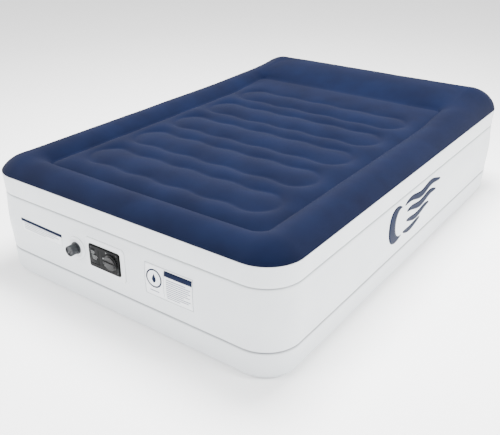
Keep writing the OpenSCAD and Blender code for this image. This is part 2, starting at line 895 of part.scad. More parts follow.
module valve_weld_flange() {
  color([0.88, 0.9, 0.91]) difference() {
    at_valve() rod(valve_flange_r, -weld_frame_d, 0);
    behind_foot_wall(valve_x - 2 * valve_flange_r, valve_x + 2 * valve_flange_r);
    at_valve() rod(neck_r, -through, overlap);
  }
}

// The valve's body: a neck with a collar in front, and behind it a seat and a pierced web for the stem.
module valve_neck() {
  seat_front = neck_back + 2.5;
  web_back = spider_z - 3;
  color([0.3, 0.31, 0.33]) at_valve() difference() {
    rotate_extrude() polygon([
      [seat_r, neck_back], [neck_r, neck_back], [neck_r, 0], [collar_r, 0], [collar_r, collar_t],
      [neck_r, collar_t], [neck_r, neck_front], [neck_bore_r, neck_front], [neck_bore_r, spider_z],
      [stem_bore_r, spider_z], [stem_bore_r, web_back], [neck_bore_r, web_back],
      [neck_bore_r, seat_front], [seat_r, seat_front]]);
    for (turn = [30:60:330]) rotate(turn) translate([neck_holes_at, 0])
      rod(neck_hole_r, web_back - overlap, spider_z + overlap);
  }
}

// Pressing the stem lets the air out, and the spring closes it again.
module valve_poppet() {
  color([0.1, 0.1, 0.1]) at_valve() {
    rod(valve_disc_r, neck_back - gap - disc_t, neck_back - gap);
    rod(stem_r, neck_back - gap - 1, stem_end);
    rod(5.5, 6, 8);
  }
}

module valve_spring() {
  color("silver") at_valve() coil(3.8, 0.5, spider_z + 0.7, 5.3, 6);
}

module valve_cap_washer() {
  color([0.05, 0.05, 0.05]) at_valve()
    tube(neck_r - 0.2, neck_bore_r + 0.2, neck_front + gap, neck_front + gap + washer_t);
}

// The screw cap, with a bar across its face to turn it by.
module valve_cap() {
  hollow_end = neck_front + washer_t + 2 * gap;
  color([0.25, 0.26, 0.27]) at_valve() difference() {
    rod(cap_r, cap_foot, cap_reach);
    rod(cap_wall_inner_r, cap_foot - overlap, hollow_end);
    for (turn = [45, 225]) rotate(turn) translate([0, cap_bar_half_w, 0]) intersection() {
      rod(cap_r - cap_rim, cap_reach - cap_dish, cap_reach + overlap);
      box(-cap_r, cap_r, 0, cap_r, cap_reach - cap_dish, cap_reach + overlap);
    }
    for (k = [1:grip_count]) rotate(360 * k / grip_count) translate([cap_r + 0.4, 0, 0])
      rod(grip_r, cap_foot - overlap, cap_reach + overlap);
  }
}

top_sheet();
upper_side_wall();
middle_side_wall();
lower_side_wall();
bottom_sheet();
upper_deck_sheet();
lower_deck_sheet();
border_web();
pillow_web();
pod_web_1();
pod_web_2();
pod_web_3();
pod_web_4();
pod_web_5();
base_web_1();
base_web_2();
base_web_3();
base_web_4();
strip_label();
care_label();
side_emblem();
pump_weld_flange();
pump_gasket();
pump_tub();
faceplate();
faceplate_screws();
vent_grille();
cord_lid();
lid_hinge_pin();
cord_box();
cord_gland();
dial_knob();
dial_shaft();
diverter_drum();
diverter_sleeve();
rotary_switch();
fan_cover();
fan_scroll();
impeller();
motor_shaft();
motor_rotor();
motor_magnets();
motor_can();
motor_bushes();
motor_screws();
motor_leads();
check_valve_seat();
check_valve_poppet();
check_valve_spring();
valve_weld_flange();
valve_neck();
valve_poppet();
valve_spring();
valve_cap_washer();
valve_cap();
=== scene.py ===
"""Looks of a raised air bed: inflated skins, welds, pump panel, valve and printed marks, on a pale floor."""
import json
import math

import bmesh
import bpy
import numpy as np
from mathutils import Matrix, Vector

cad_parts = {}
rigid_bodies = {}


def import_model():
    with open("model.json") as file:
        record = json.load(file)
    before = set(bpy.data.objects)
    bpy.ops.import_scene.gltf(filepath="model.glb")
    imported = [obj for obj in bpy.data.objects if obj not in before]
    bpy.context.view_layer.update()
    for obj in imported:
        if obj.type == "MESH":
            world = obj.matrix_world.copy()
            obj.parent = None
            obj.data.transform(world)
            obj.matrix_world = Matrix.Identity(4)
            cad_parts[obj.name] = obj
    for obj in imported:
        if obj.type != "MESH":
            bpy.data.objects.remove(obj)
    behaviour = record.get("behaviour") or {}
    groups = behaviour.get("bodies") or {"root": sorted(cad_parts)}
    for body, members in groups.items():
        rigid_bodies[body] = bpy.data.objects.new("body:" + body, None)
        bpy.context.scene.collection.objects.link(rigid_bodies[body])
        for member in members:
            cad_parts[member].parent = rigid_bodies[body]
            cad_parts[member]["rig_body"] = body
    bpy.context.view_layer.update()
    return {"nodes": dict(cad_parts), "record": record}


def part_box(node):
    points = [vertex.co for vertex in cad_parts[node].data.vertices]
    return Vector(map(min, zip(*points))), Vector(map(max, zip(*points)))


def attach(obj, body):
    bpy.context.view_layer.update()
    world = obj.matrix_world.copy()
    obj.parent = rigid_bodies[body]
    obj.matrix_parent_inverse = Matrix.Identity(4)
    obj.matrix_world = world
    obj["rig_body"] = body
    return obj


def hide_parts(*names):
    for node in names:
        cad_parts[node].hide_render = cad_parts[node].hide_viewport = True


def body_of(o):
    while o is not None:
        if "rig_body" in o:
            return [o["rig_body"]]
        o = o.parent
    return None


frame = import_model()

# ------------------------------------------------------------------ sizes, in metres
# The bed as a whole
BAND_LO, BAND_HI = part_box("upper_side_wall")
SHIFT_Y = (BAND_LO.y + BAND_HI.y) / 2       # the bed's own middle in the part's frame
HALF_W = (BAND_HI.x - BAND_LO.x) / 2        # half width and half length at the widest seam
HALF_L = (BAND_HI.y - BAND_LO.y) / 2
SEAM_TOP = BAND_HI.z                        # heights of the three seams
SEAM_UPPER = BAND_LO.z
SEAM_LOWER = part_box("lower_side_wall")[1].z
CORNER_R = 0.138                            # corner radius in plan
AXIS_X = HALF_W - CORNER_R                  # the corners' axes
AXIS_Y = HALF_L - CORNER_R
SKIN = 0.0008                               # thickness of the modelled sheets
PROUD = 0.0006                              # how far the modelled walls stand out from the CAD's

# The side walls
UPPER_IN = 0.007                            # how far the upper and lower seams lie in from the widest one
LOWER_IN = 0.009
FOOT_SIDE_IN = 0.006                        # the same for the start of the turn under the bed
FOOT_ROUND = 0.034                          # radius of that turn
BAND_BULGE = 0.003                          # how far each wall swells out, from the upper one down
MID_BULGE = 0.016
LOW_BULGE = 0.004
CORNER_FULLNESS = 0.62                      # part of the swelling that is left at a corner
FULL_RUN = 0.30                             # distance from a corner to where the swelling is whole
SEAM_LIPS = ((SEAM_UPPER, 0.0026), (SEAM_LOWER, 0.0042))    # swelling on both sides of a seam
LIP_REACH = 0.009                           # distance from a seam to its lips
PUCKER = 0.0005                             # height and reach of the puckers along a seam
PUCKER_REACH = 0.018
CREASE = 0.0014                             # depth and half width of the crease at a seam
CREASE_HALF_W = 0.0022
ALONG_STEP = 0.008                          # spacing of the walls' mesh along the sides
CORNER_STEPS = 24

# The border tube, and the groove inside it
GROOVE_X = 0.513                            # half width, two ends and corner radius of the groove
GROOVE_FOOT = -0.853
GROOVE_HEAD = 0.630
GROOVE_R = 0.035
GROOVE_Z = 0.4415                           # its height, and its height at the pillow
GROOVE_HEAD_Z = 0.463
GROOVE_CLIMB = 0.30                         # length over which it climbs from one to the other
TUBE_RISE = 0.042                           # rise of the border tube over its chord
TUBE_WIDTH = 0.168                          # width that the rise is given at
TUBE_GAIN = 0.190                           # extra rise per metre where the tube is wider
TUBE_POWER = 0.86                           # below 1 the tube is fuller than a parabola
PILLOW_SPAN = 0.22                          # extra width at which the tube has turned into the pillow
PILLOW_LEAN = 0.32                          # how far the pillow's crest leans towards the head
PILLOW_POWER = 0.20                         # extra power that eases the pillow's inner slope
HIP_SOFT = 0.08                             # rounding where two sides' slopes meet
BORDER_RINGS = 32

# The sleeping field and its pods
CELL = 0.005                                # spacing of the field's mesh
POD_COUNT = 5
POD_PITCH = 0.257
POD_HALF_L = 0.447
POD_HALF_W = 0.077
POD_WAVE = 0.0065                           # height and length of the waves along a pod's side
POD_WAVE_L = 0.185
POD_END = 0.075                             # length of a pod's rounded end
FIRST_POD_Y = -0.663
LAST_POD_Y = FIRST_POD_Y + (POD_COUNT - 1) * POD_PITCH
POD_WELD_Z = 0.449                          # height that the welds are held at
POD_WELD_W = 0.0045                         # half width of a weld
POD_PUSH = 6.0                              # the air's push inside and outside the pods, as curvature
FIELD_PUSH = 10.8
PILLOW_RELIEF = 8.8                         # how much less it is between the last pod and the pillow
WELD_HOLD = 4.0e5                           # stiffness of the welds' hold
RELAX_PASSES = 600
OVER_RELAX = 1.93

# Films on the walls
FILM_LIFT = 0.0006                          # height of a label's film, of its print, and of its marks
PRINT_LIFT = 0.0009
MARK_LIFT = 0.0010
PANEL_LIFT = 0.0002

SIDES = [(AXIS_X, -AXIS_Y, 2 * AXIS_Y), (AXIS_X, AXIS_Y, 2 * AXIS_X),
         (-AXIS_X, AXIS_Y, 2 * AXIS_Y), (-AXIS_X, -AXIS_Y, 2 * AXIS_X)]    # start and length of each side
RIGHT, HEAD, LEFT, FOOT = range(4)          # the sides, anticlockwise from +X


# ------------------------------------------------------------------ plain mesh helpers
def new_piece(name, verts, faces, body="airbed", smooth=True):
    mesh = bpy.data.meshes.new(name)
    mesh.from_pydata([tuple(v) for v in verts], [], [tuple(f) for f in faces])
    mesh.update()
    piece = bpy.data.objects.new(name, mesh)
    bpy.context.scene.collection.objects.link(piece)
    mesh.polygons.foreach_set("use_smooth", [smooth] * len(mesh.polygons))
    if body:
        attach(piece, body)
    return piece


def finish_piece(piece, material_slot, *nodes, material=None):
    """Gives a piece its material, the slot's own unless another is named, and hides the CAD nodes it stands
    for.
    """
    piece.data.materials.clear()
    piece.data.materials.append(materials[material or material_slot])
    if nodes:
        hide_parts(*nodes)
    return piece


def apply_modifiers(piece):
    graph = bpy.context.evaluated_depsgraph_get()
    mesh = bpy.data.meshes.new_from_object(piece.evaluated_get(graph))
    piece.modifiers.clear()
    piece.data = mesh


def thicken(piece, thickness=SKIN):
    """Gives an open skin its thickness, behind its face."""
    sheet = piece.modifiers.new("sheet", "SOLIDIFY")
    sheet.thickness = thickness
    sheet.offset = -1
    sheet.use_even_offset = False
    apply_modifiers(piece)
    return piece


def grid_faces(rows, columns, closed=False):
    """Quads of a grid whose points are numbered row by row. Closed joins the last column to the first."""
    wide = columns if closed else columns - 1
    return [(r * columns + c, r * columns + (c + 1) % columns,
             (r + 1) * columns + (c + 1) % columns, (r + 1) * columns + c)
            for r in range(rows - 1) for c in range(wide)]


def value_noise(x, y, cell, seed):
    """Smooth repeatable noise in -1..1 on arrays of points."""
    def corner(i, j):
        scrambled = np.sin(i * 127.1 + j * 311.7 + seed * 74.7) * 43758.5453
        return (scrambled - np.floor(scrambled)) * 2 - 1
    i, j = np.floor(x / cell), np.floor(y / cell)
    u, v = x / cell - i, y / cell - j
    u, v = u * u * (3 - 2 * u), v * v * (3 - 2 * v)
    low = corner(i, j) * (1 - u) + corner(i + 1, j) * u
    high = corner(i, j + 1) * (1 - u) + corner(i + 1, j + 1) * u
    return low * (1 - v) + high * v


def smooth_step(t):
    t = np.clip(t, 0, 1)
    return t * t * (3 - 2 * t)


# ------------------------------------------------------------------ the inflated top
def inside_distance(x, y, cy, hx, hy, r):
    """Distance in from a rounded rectangle's outline, positive inside."""
    qx, qy = np.abs(x) - (hx - r), np.abs(y - cy) - (hy - r)
    outside = np.hypot(np.maximum(qx, 0), np.maximum(qy, 0))
    deeper = (qx + qy + np.sqrt((qx - qy) ** 2 + HIP_SOFT ** 2)) / 2
    return r - outside - np.minimum(deeper, 0)


def rim_distance(x, y):
    return inside_distance(x, y, 0, HALF_W, HALF_L, CORNER_R)


def groove_distance(x, y):
    middle = (GROOVE_FOOT + GROOVE_HEAD) / 2
    return inside_distance(x, y, middle, GROOVE_X, (GROOVE_HEAD - GROOVE_FOOT) / 2, GROOVE_R)


def groove_height(y):
    """The groove is deep along the sides and the foot, and shallow towards the pillow."""
    climbed = smooth_step((y - GROOVE_HEAD + GROOVE_CLIMB) / GROOVE_CLIMB)
    return GROOVE_Z + (GROOVE_HEAD_Z - GROOVE_Z) * climbed


def border_height(x, y):
    """Height of the border tube and the pillow, between the outer seam and the groove."""
    out = np.maximum(rim_distance(x, y), 0)
    inner = np.maximum(-groove_distance(x, y), 0)
    width = out + inner + 1e-9
    u = out / width
    rise = TUBE_RISE + TUBE_GAIN * (width - TUBE_WIDTH)
    base = SEAM_TOP + (groove_height(y) - SEAM_TOP) * u
    pillow = np.clip((width - TUBE_WIDTH) / PILLOW_SPAN, 0, 1)
    lean = u ** (1 - PILLOW_LEAN * pillow)
    return base + rise * np.maximum(4 * lean * (1 - lean), 0) ** (TUBE_POWER + PILLOW_POWER * pillow * u)


def pod_waist(x):
    """Half width of a pod, in waves along its length."""
    return POD_HALF_W + POD_WAVE * np.cos(2 * np.pi * x / POD_WAVE_L)


def pod_level(x, y, centre):
    """1 on a pod's middle line, 0 on its welded outline, and negative outside."""
    past = np.maximum(np.abs(x) - (POD_HALF_L - POD_END), 0) / POD_END
    return 1 - past ** 2 - ((y - centre) / pod_waist(x)) ** 2


def pod_distance(x, y, centre, step=0.002):
    """Roughly the distance in from a pod's welded outline, positive inside."""
    slope_x = (pod_level(x + step, y, centre) - pod_level(x - step, y, centre)) / (2 * step)
    slope_y = (pod_level(x, y + step, centre) - pod_level(x, y - step, centre)) / (2 * step)
    return pod_level(x, y, centre) / (np.hypot(slope_x, slope_y) + 1e-6)


def relax_field(x, y):
    """Heights of the sleeping field: a membrane blown up between its welds."""
    edge = groove_distance(x, y)
    inside = np.zeros_like(x, bool)
    weld = np.zeros_like(x)
    for i in range(POD_COUNT):
        d = pod_distance(x, y, FIRST_POD_Y + i * POD_PITCH)
        inside |= d > 0
        weld = np.maximum(weld, np.exp(-(d / POD_WELD_W) ** 2))
    past_last_pod, fade = 0.04, 0.10
    near_pillow = smooth_step((y - LAST_POD_Y - past_last_pod) / fade)
    push = CELL ** 2 * np.where(inside, POD_PUSH, FIELD_PUSH - PILLOW_RELIEF * near_pillow)
    hold = CELL ** 2 * WELD_HOLD * weld
    fixed = edge <= CELL * 0.5
    z = np.where(fixed, np.where(edge > -CELL, groove_height(y), border_height(x, y)), POD_WELD_Z)
    free = ~fixed
    free[0, :] = free[-1, :] = False
    free[:, 0] = free[:, -1] = False
    parity = (np.arange(x.shape[0])[:, None] + np.arange(x.shape[1])[None, :]) % 2
    for step in range(RELAX_PASSES):
        over = OVER_RELAX if step < RELAX_PASSES * 0.85 else 1.0
        for mask in (free & (parity == 0), free & (parity == 1)):
            around = np.zeros_like(z)
            around[1:-1, 1:-1] = z[2:, 1:-1] + z[:-2, 1:-1] + z[1:-1, 2:] + z[1:-1, :-2]
            target = (around + push + hold * POD_WELD_Z) / (4 + hold)
            z[mask] += over * (target[mask] - z[mask])
    return z


def rim_point(side, f):
    """Point and outward direction of the rim, at fraction f of the way between two corners' middles."""
    ax, ay, length = SIDES[side]
    quarter = CORNER_R * math.pi / 4
    s = f * (length + 2 * quarter)
    normal = side * math.pi / 2
    angle = normal + (min(s - quarter, 0) + max(s - quarter - length, 0)) / CORNER_R
    run = min(max(s - quarter, 0), length)
    cx = ax - math.sin(normal) * run
    cy = ay + math.cos(normal) * run
    return cx + CORNER_R * math.cos(angle), cy + CORNER_R * math.sin(angle), math.cos(angle), math.sin(angle)


def build_top():
    """One skin: a grid over the field, rings over the border, and a hem at the seam.

    Gives the piece, and a function for the field's height at points.
    """
    nx = int(round(2 * GROOVE_X / CELL))
    ny = int(round((GROOVE_HEAD - GROOVE_FOOT) / CELL))
    gx, gy = np.meshgrid(np.linspace(-GROOVE_X, GROOVE_X, nx + 1),
                         np.linspace(GROOVE_FOOT, GROOVE_HEAD, ny + 1))
    gz = relax_field(gx, gy)
    parts = [np.stack([gx.ravel(), gy.ravel(), gz.ravel()], 1)]
    faces = grid_faces(ny + 1, nx + 1)

    edge = ([j * (nx + 1) + nx for j in range(ny)] + [ny * (nx + 1) + i for i in range(nx, 0, -1)]
            + [j * (nx + 1) for j in range(ny, 0, -1)] + list(range(nx)))
    steps = ((RIGHT, ny), (HEAD, nx), (LEFT, ny), (FOOT, nx))
    outer = np.array([rim_point(side, k / n) for side, n in steps for k in range(n)])
    inner = parts[0][edge, :2]
    count = len(edge)
    for k in range(1, BORDER_RINGS + 1):
        t = 0.55 * k / BORDER_RINGS + 0.45 * math.sin(k / BORDER_RINGS * math.pi / 2)    # closer near the rim
        xy = inner + (outer[:, :2] - inner) * t
        z = border_height(xy[:, 0], xy[:, 1]) if k < BORDER_RINGS else np.full(count, SEAM_TOP + 0.002)
        parts.append(np.column_stack([xy, z]))
    hem = ((0.0008, 0.0006), (0.0002, -0.0004), (-0.006, -0.0008))    # reach and height from the seam
    for reach, z in hem:
        parts.append(np.column_stack([outer[:, :2] + outer[:, 2:] * reach, np.full(count, SEAM_TOP + z)]))
    points = np.concatenate(parts)
    x, y = points[:, 0], points[:, 1]
    unevenness = 0.0011 * value_noise(x, y, 0.19, 1) + 0.0005 * value_noise(x, y, 0.06, 2)
    points[:, 2] += unevenness * smooth_step((rim_distance(x, y) - 0.01) / 0.05)
    start = (nx + 1) * (ny + 1)
    previous = edge
    for k in range(len(parts) - 1):
        row = [start + k * count + i for i in range(count)]
        for i in range(count):
            after = (i + 1) % count
            faces.append((previous[i], row[i], row[after], previous[after]))
        previous = row
    points[:, 1] += SHIFT_Y
    piece = thicken(new_piece("flocked_top", points, faces))
    heights = points[:start, 2].reshape(ny + 1, nx + 1)
    return piece, lambda px, py: sample_grid(heights, px, py)


def sample_grid(heights, x, y):
    """Heights of the field at points, between the grid's own."""
    rows, columns = heights.shape
    j = np.clip((y - GROOVE_FOOT) / (GROOVE_HEAD - GROOVE_FOOT) * (rows - 1), 0, rows - 1.001)
    i = np.clip((x + GROOVE_X) / (2 * GROOVE_X) * (columns - 1), 0, columns - 1.001)
    j0, i0 = j.astype(int), i.astype(int)
    v, u = j - j0, i - i0
    return ((heights[j0, i0] * (1 - u) + heights[j0, i0 + 1] * u) * (1 - v)
            + (heights[j0 + 1, i0] * (1 - u) + heights[j0 + 1, i0 + 1] * u) * v)


def build_pod_ties(height_at):
    """The webs that hold the pods' welds down, from the deck up to the skin."""
    below_skin = 0.0015
    around = np.linspace(0, 2 * np.pi, 160, endpoint=False)
    x = POD_HALF_L * np.sign(np.cos(around)) * np.abs(np.cos(around)) ** 0.75
    past = np.maximum(np.abs(x) - (POD_HALF_L - POD_END), 0) / POD_END
    half = np.sign(np.sin(around)) * pod_waist(x) * np.sqrt(np.maximum(1 - past ** 2, 0))
    for k in range(POD_COUNT):
        node = f"pod_web_{k + 1}"
        y = FIRST_POD_Y + k * POD_PITCH + half
        top = height_at(x, y) - below_skin
        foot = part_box(node)[0].z
        rows = [np.column_stack([x, y + SHIFT_Y, foot + (top - foot) * t]) for t in (0, 0.5, 0.97, 1)]
        faces = grid_faces(len(rows), len(x), True)
        tie = thicken(new_piece(f"pod_tie_{k + 1}", np.concatenate(rows), faces))
        finish_piece(tie, "inner_pvc", node)


# ------------------------------------------------------------------ the side walls
def side_sample(side, run):
    """A place on a side, at a run along it from its first corner.

    Gives the corner's axis moved along (x, y), the outward direction (x, y), the way round the bed, and
    the fullness there.
    """
    ax, ay, length = SIDES[side]
    turn = side * math.pi / 2
    arc = sum(SIDES[k][2] for k in range(side)) + side * CORNER_R * math.pi / 2 + run
    full = CORNER_FULLNESS + (1 - CORNER_FULLNESS) * smooth_step(min(run, length - run) / FULL_RUN)
    return (ax - math.sin(turn) * run, ay + math.cos(turn) * run, math.cos(turn), math.sin(turn), arc, full)


def outline():
    """Places all round the bed: along each side, then round the corner after it."""
    found = []
    for side, (_, _, length) in enumerate(SIDES):
        steps = int(round(length / ALONG_STEP))
        found += [side_sample(side, length * i / steps) for i in range(steps)]
        x, y, _, _, arc, full = side_sample(side, length)
        for i in range(CORNER_STEPS):
            turned = math.pi / 2 * i / CORNER_STEPS
            angle = math.pi / 2 * side + turned
            found.append((x, y, math.cos(angle), math.sin(angle), arc + CORNER_R * turned, full))
    return np.array(found)


OUTLINE = outline()
WALLS = {   # top seam's height and set-back, bottom seam's, bulge between
    "upper": (SEAM_TOP - 0.008, 0.0, SEAM_UPPER, UPPER_IN, BAND_BULGE),
    "middle": (SEAM_UPPER, UPPER_IN, SEAM_LOWER, LOWER_IN, MID_BULGE),
    "lower": (SEAM_LOWER, LOWER_IN, FOOT_ROUND, FOOT_SIDE_IN, LOW_BULGE),
}
PUMP_LO, PUMP_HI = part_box("pump_weld_flange")
VALVE_LO, VALVE_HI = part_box("valve_weld_flange")
FRONT_Y = PUMP_LO.y                         # the flat front of both weld flanges
PUMP_X, PUMP_Z = (PUMP_LO.x + PUMP_HI.x) / 2, (PUMP_LO.z + PUMP_HI.z) / 2
VALVE_X, VALVE_Z = (VALVE_LO.x + VALVE_HI.x) / 2, (VALVE_LO.z + VALVE_HI.z) / 2
FRAME_HALF_W, FRAME_HALF_H = (PUMP_HI.x - PUMP_LO.x) / 2, (PUMP_HI.z - PUMP_LO.z) / 2
VALVE_R = (VALVE_HI.x - VALVE_LO.x) / 2
BEHIND_FLANGE = 0.0016                      # the wall's face lies this far behind the flanges' front


def wall_xyz(samples, z, wall, lift=0.0):
    """Points of a wall at height z for rows of samples round the bed, lifted out by a little where asked."""
    z0, in0, z1, in1, bulge = WALLS[wall]
    samples = np.atleast_2d(samples)
    z = np.broadcast_to(np.asarray(z, float), (len(samples),))
    s = np.clip((z0 - z) / (z0 - z1), 0, 1)
    reach = CORNER_R + PROUD - (in0 + (in1 - in0) * s) + 4 * s * (1 - s) * bulge * samples[:, 5]
    arc = samples[:, 4]
    for seam, lip in SEAM_LIPS:
        away = np.abs(z - seam)
        near = np.exp(-away / PUCKER_REACH)
        waves = 0.6 * value_noise(arc, z * 2, 0.045, 5) + 0.4 * value_noise(arc, z * 2, 0.02, 6)
        reach = reach + PUCKER * near * (1 + waves) + lip * away / LIP_REACH * np.exp(1 - away / LIP_REACH)
        reach = reach - CREASE * np.exp(-(away / CREASE_HALF_W) ** 2)
    x = samples[:, 0] + samples[:, 2] * reach
    y = samples[:, 1] + samples[:, 3] * reach + SHIFT_Y
    flat = foot_flatness(x, z) * (y < 0) * (wall == "middle")
    y = y + (FRONT_Y + BEHIND_FLANGE - y) * flat
    return np.column_stack([x + samples[:, 2] * lift, y + samples[:, 3] * lift, z])


def foot_flatness(x, z):
    """1 where the foot wall is held flat by a weld flange, falling to 0 around it."""
    pump_edge, valve_edge = 0.012, 0.008        # the flat ends this far inside a flange's edge
    fade_x, fade_z, fade_valve = 0.085, 0.042, 0.05
    beside_pump = np.maximum(np.abs(x - PUMP_X) - FRAME_HALF_W + pump_edge, 0)
    above_pump = np.maximum(np.abs(z - PUMP_Z) - FRAME_HALF_H + pump_edge, 0)
    round_valve = np.maximum(np.hypot(x - VALVE_X, z - VALVE_Z) - VALVE_R + valve_edge, 0)
    pump = 1 - np.hypot(beside_pump / fade_x, above_pump / fade_z)
    valve = 1 - round_valve / fade_valve
    return smooth_step(np.maximum(pump, valve))


def clustered(rows, tight):
    """Fractions from 0 to 1, closer together at both ends."""
    k = np.arange(rows + 1) / rows
    return k - tight * np.sin(2 * np.pi * k) / (2 * np.pi)


def wall_piece(name, rings, hole=None):
    """A wall through rings of points, open where hole says so of a face's middle."""
    points = np.concatenate(rings)
    faces = []
    for f in grid_faces(len(rings), len(OUTLINE), True):
        if hole is None or not hole(points[list(f)].mean(0)):
            faces.append(f[::-1])
    piece = new_piece(name, points, faces)
    loose = bmesh.new()
    loose.from_mesh(piece.data)
    bmesh.ops.delete(loose, geom=[v for v in loose.verts if not v.link_faces], context="VERTS")
    loose.to_mesh(piece.data)
    loose.free()
    return thicken(piece)


def behind_fitting(p):
    """True where the foot wall is cut away for the pump's tub or the valve's neck."""
    if p[1] > 0:
        return False
    frame_width, neck_r = 0.016, 0.028
    inside_tub = (abs(p[0] - PUMP_X) < FRAME_HALF_W - frame_width
                  and abs(p[2] - PUMP_Z) < FRAME_HALF_H - frame_width)
    return inside_tub or math.hypot(p[0] - VALVE_X, p[2] - VALVE_Z) < neck_r


def ring_at(reach, z):
    """A level ring round the bed, at a reach from the corners' axes."""
    xy = OUTLINE[:, :2] + OUTLINE[:, 2:4] * reach
    return np.column_stack([xy[:, 0], xy[:, 1] + SHIFT_Y, np.full(len(xy), z)])


def wall_rings(wall, rows, tight):
    """Rings down a wall from its top seam to its bottom one."""
    z0, _, z1, _, _ = WALLS[wall]
    return [wall_xyz(OUTLINE, z0 + (z1 - z0) * s, wall) for s in clustered(rows, tight)]


def build_walls():
    # reach and height from the top seam of the upper wall's welded edge
    weld = ((-0.010, -0.0012), (0.0002, -0.0010), (0.0010, -0.0016), (0.0014, -0.0030), (0.0012, -0.0050))
    upper = [ring_at(CORNER_R + reach, SEAM_TOP + z) for reach, z in weld] + wall_rings("upper", 18, 0.8)
    finish_piece(wall_piece("white_band_upper", upper), "white_pvc", "upper_side_wall")

    middle = wall_rings("middle", 44, 0.85)
    finish_piece(wall_piece("white_band_middle", middle, behind_fitting), "white_pvc", "middle_side_wall")

    lower = wall_rings("lower", 18, 0.8)
    last, off_floor, turn_steps = CORNER_R + PROUD - FOOT_SIDE_IN, 0.0002, 12
    for k in range(1, turn_steps + 1):
        a = math.pi / 2 * k / turn_steps
        reach = last - FOOT_ROUND * (1 - math.cos(a))
        lower.append(ring_at(reach, FOOT_ROUND * (1 - math.sin(a)) + off_floor))
    finish_piece(wall_piece("white_band_lower", lower), "white_pvc", "lower_side_wall")


def build_bottom():
    """The bottom sheet, flat on the floor: rings that close in on its middle."""
    reach, height, rings = CORNER_R - FOOT_SIDE_IN - FOOT_ROUND - 0.001, 0.0012, 8
    rows = []
    for k in range(rings):
        xy = (OUTLINE[:, :2] + OUTLINE[:, 2:4] * reach) * (1 - k / rings)
        rows.append(np.column_stack([xy[:, 0], xy[:, 1] + SHIFT_Y, np.full(len(xy), height)]))
    count = len(OUTLINE)
    last = (rings - 1) * count
    points = np.concatenate(rows + [np.array([[0, SHIFT_Y, height]])])
    faces = grid_faces(rings, count, True)
    faces += [(last + i, last + (i + 1) % count, rings * count) for i in range(count)]
    return finish_piece(thicken(new_piece("bottom_skin", points, faces)), "base_pvc", "bottom_sheet")


# ------------------------------------------------------------------ weld flanges round the pump and the valve
def rounded_loop(half_w, half_h, r, straight=18, corner=10):
    """Points round a rounded rectangle, the same number on every side and corner whatever its size."""
    found = []
    for k, (cx, cz) in enumerate(((1, 1), (-1, 1), (-1, -1), (1, -1))):
        ax, az = cx * (half_w - r), cz * (half_h - r)
        for i in range(corner + 1):
            a = math.pi / 2 * (k + i / corner)
            found.append((ax + r * math.cos(a), az + r * math.sin(a)))
        nx, nz = ((-1, 1), (-1, -1), (1, -1), (1, 1))[k]
        bx, bz = nx * (half_w - r), nz * (half_h - r)
        a = math.pi / 2 * (k + 1)
        for i in range(1, straight):
            t = i / straight
            found.append((ax + (bx - ax) * t + r * math.cos(a), az + (bz - az) * t + r * math.sin(a)))
    return np.array(found)


def foot_wall_y(x, z):
    """Depth of the foot wall's face at points given by x and height."""
    samples = np.array([side_sample(FOOT, px + AXIS_X) for px in x])
    return wall_xyz(samples, z, "middle")[:, 1]


def flange_rings(loops, heights):
    """Rings of a soft flange, each at a mix of the wall's face (0) and the flat front (1), then lifted."""
    rings = []
    for (x, z), (mix, lift) in zip(loops, heights):
        y = foot_wall_y(x, z)
        rings.append(np.column_stack([x, y + (FRONT_Y - y) * mix - lift, z]))
    return rings


def flange_piece(name, loops, heights, node):
    """A soft flange through its loops, with its inner edge turned back into the bed."""
    turned_back, flange_skin = 0.010, 0.0012
    rings = flange_rings(loops, heights)
    rings.append(rings[-1] + np.array([0, turned_back, 0]))
    faces = [f[::-1] for f in grid_faces(len(rings), len(rings[0]), True)]
    piece = new_piece(name, np.concatenate(rings), faces)
    return finish_piece(thicken(piece, flange_skin), "white_pvc", node, material="white_weld")


def build_flanges():
    # distance in from the outer edge, mix of wall and flat front, lift above that
    profile = ((0.0, 0.0, 0.0), (0.0006, 0.0, 0.0010), (0.002, 0.0, 0.0014), (0.007, 0.35, 0.0012),
               (0.011, 0.8, 0.0004), (0.014, 1.0, 0.0), (0.019, 1.0, 0.0), (0.0235, 1.0, 0.0))
    loops = []
    for inset, _, _ in profile:
        corner_r = 0.016 - 0.3 * inset
        loop = rounded_loop(FRAME_HALF_W - inset, FRAME_HALF_H - inset, corner_r)
        loops.append((loop[:, 0] + PUMP_X, loop[:, 1] + PUMP_Z))
    flange_piece("pump_frame", loops, [(mix, lift) for _, mix, lift in profile], "pump_weld_flange")

    profile = ((0.0, 0.0, 0.0), (0.0005, 0.0, 0.0010), (0.0018, 0.0, 0.0014), (0.006, 0.4, 0.0012),
               (0.009, 0.7, 0.0016), (0.0115, 1.0, 0.0010), (0.014, 1.0, -0.0004), (0.018, 1.0, -0.0006),
               (0.0205, 1.0, 0.0), (0.0265, 1.0, 0.0))
    a = np.linspace(0, 2 * np.pi, 96, endpoint=False)
    loops = [(VALVE_X + (VALVE_R - inset) * np.cos(a), VALVE_Z + (VALVE_R - inset) * np.sin(a))
             for inset, _, _ in profile]
    flange_piece("valve_ring", loops, [(mix, lift) for _, mix, lift in profile], "valve_weld_flange")


